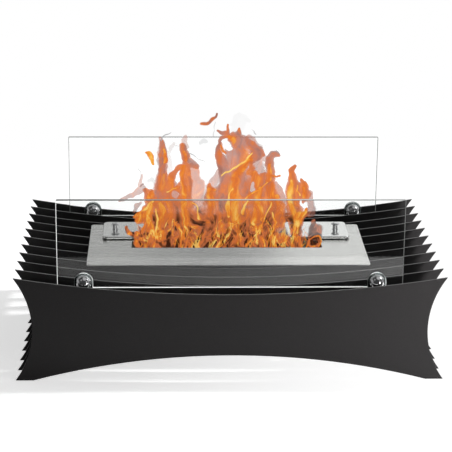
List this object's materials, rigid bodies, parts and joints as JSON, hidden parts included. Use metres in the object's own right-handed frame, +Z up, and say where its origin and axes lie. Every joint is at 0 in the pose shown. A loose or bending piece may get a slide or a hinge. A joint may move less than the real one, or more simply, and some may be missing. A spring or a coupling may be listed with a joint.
{
  "type": "bioethanol fireplace",
  "caption": "Free-standing bioethanol fireplace: curved black steel plates on tie rods carry a steel slot burner with a sliding cover, between clear glass panels at front and back.",
  "frame": {"origin": "on the floor under the middle of the object, the centre of the bounding box's underside", "axes": "+X runs to the right along the width, +Y from the front to the back, +Z up"},
  "size_m": [0.65, 0.403, 0.28],
  "materials": {
    "powder_coat": "charcoal black powder coat, satin, fine texture",
    "brushed_steel": "stainless steel brushed along X",
    "polished_steel": "polished stainless steel",
    "box_steel": "mill-finish stainless steel, heat-darkened",
    "zinc_steel": "zinc-plated steel",
    "chrome": "mirror chrome",
    "clear_glass": "clear toughened glass with polished edges",
    "clear_plastic": "clear soft silicone of the saddles and gaskets",
    "ceramic_fibre": "off-white ceramic wool",
    "white_nylon": "natural white nylon"
  },
  "bodies": {
    "frame": {"front_plate": "powder_coat", "slat_1": "powder_coat", "slat_2": "powder_coat", "slat_3": "powder_coat", "slat_4": "powder_coat", "slat_5": "powder_coat", "slat_6": "powder_coat", "slat_7": "powder_coat", "slat_8": "powder_coat", "slat_9": "powder_coat", "rear_plate": "powder_coat", "upper_tie_rod_left": "zinc_steel", "upper_tie_rod_right": "zinc_steel", "lower_tie_rod_left": "zinc_steel", "lower_tie_rod_right": "zinc_steel", "upper_spacers_left": "powder_coat", "upper_spacers_right": "powder_coat", "lower_spacers_left": "powder_coat", "lower_spacers_right": "powder_coat", "front_bosses": "powder_coat", "rear_bosses": "powder_coat", "glass_brackets": "powder_coat", "silicone_saddles": "clear_plastic", "clear_gaskets": "clear_plastic", "stud_pins": "zinc_steel", "front_stud_caps": "chrome", "rear_stud_caps": "chrome"},
    "burner": {"burner_surround": "brushed_steel", "fuel_box": "box_steel", "burner_nuts": "zinc_steel", "wick_pad": "ceramic_fibre", "wick_screen": "box_steel"},
    "cover": {"sliding_cover": "polished_steel", "knob_left": "chrome", "knob_right": "chrome", "knob_screws": "zinc_steel", "glide_pads": "white_nylon"},
    "front_panel": {"front_glass": "clear_glass"},
    "rear_panel": {"rear_glass": "clear_glass"}
  },
  "joints": [
    {"name": "burner_lift", "type": "slide", "parent": "frame", "child": "burner", "axis": [0, 0, 1], "range_m": [0, 0.185]},
    {"name": "cover_slide", "type": "slide", "parent": "burner", "child": "cover", "axis": [0, -1, 0], "range_m": [0, 0.0615]},
    {"name": "front_panel_lift", "type": "slide", "parent": "frame", "child": "front_panel", "axis": [0, 0, 1], "range_m": [0, 0.065]},
    {"name": "rear_panel_lift", "type": "slide", "parent": "frame", "child": "rear_panel", "axis": [0, 0, 1], "range_m": [0, 0.065]}
  ]
}
